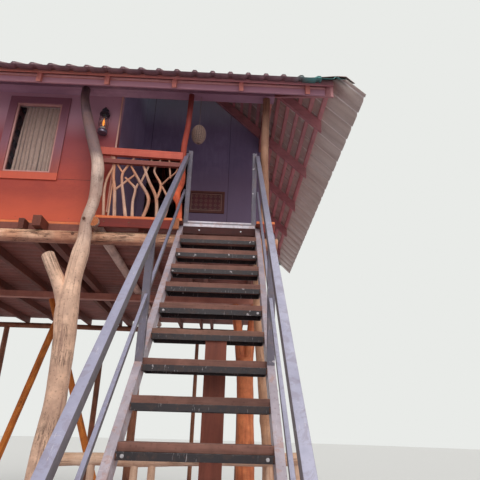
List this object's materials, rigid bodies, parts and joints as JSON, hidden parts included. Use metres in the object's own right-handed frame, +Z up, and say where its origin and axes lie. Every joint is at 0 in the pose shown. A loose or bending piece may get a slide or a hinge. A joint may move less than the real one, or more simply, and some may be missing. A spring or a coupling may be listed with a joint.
{
  "type": "tree house",
  "caption": "Timber cabin raised on log posts, with a hipped metal roof, a recessed porch behind a branch balustrade, and a steep steel stair with handrails.",
  "frame": {"origin": "middle of the foot of the square post under the stair, at ground level", "axes": "+X to the right seen from the foot of the stair, +Y from the stair towards the house, +Z up"},
  "size_m": [7.366, 9.8592, 7.6902],
  "materials": {
    "log_wood": "matte",
    "red_timber": "matte",
    "wall_boards": "matte",
    "floor_timber": "matte",
    "pale_trim": "matte",
    "tread_timber": "matte",
    "branch_wood": "matte",
    "stair_steel": "satin",
    "roof_metal": "satin",
    "window_glass": "gloss",
    "curtain_fabric": "matte",
    "lantern_metal": "satin",
    "lantern_glass": "gloss",
    "woven_fibre": "matte",
    "picture_print": "matte"
  },
  "bodies": {
    "root": {"balcony_branches": "branch_wood", "balcony_rails": "red_timber", "balusters": "stair_steel", "battens": "red_timber", "deck_edge_boards": "red_timber", "end_plates": "red_timber", "fascia_boards": "red_timber", "floor_boards": "floor_timber", "floor_joists": "red_timber", "forked_log_post": "log_wood", "forked_trunk_post": "log_wood", "front_beam": "log_wood", "front_rim": "red_timber", "front_roof_sheet": "roof_metal", "front_wall": "wall_boards", "ground_rail": "log_wood", "handrails": "stair_steel", "hip_rafters": "red_timber", "landing_bars": "stair_steel", "landing_board": "red_timber", "lantern_body": "lantern_metal", "lantern_glass": "lantern_glass", "left_roof_sheet": "roof_metal", "left_wall": "wall_boards", "left_window_curtain": "curtain_fabric", "log_joist": "log_wood", "mid_rails": "stair_steel", "middle_beam": "log_wood", "picture_face": "picture_print", "picture_frame": "pale_trim", "porch_back_wall_over_door": "wall_boards", "porch_back_wall_sides": "wall_boards", "porch_corner_post": "log_wood", "porch_post": "red_timber", "porch_post_block": "red_timber", "porch_side_wall": "wall_boards", "rafters": "red_timber", "raking_props": "log_wood", "rear_beam": "log_wood", "rear_roof_sheet": "roof_metal", "rear_wall": "wall_boards", "ridge_board": "red_timber", "right_log_post": "log_wood", "right_roof_sheet": "roof_metal", "right_wall": "wall_boards", "roof_caps": "roof_metal", "side_plates": "red_timber", "side_rafters": "red_timber", "slats": "red_timber", "stair_post": "red_timber", "stringers": "stair_steel", "tread_boards": "tread_timber", "tread_frames": "stair_steel", "under_posts": "log_wood", "wall_trims": "red_timber", "window_curtain": "curtain_fabric", "window_panes": "window_glass", "window_trims": "pale_trim", "woven_hanging": "woven_fibre"}
  },
  "joints": []
}
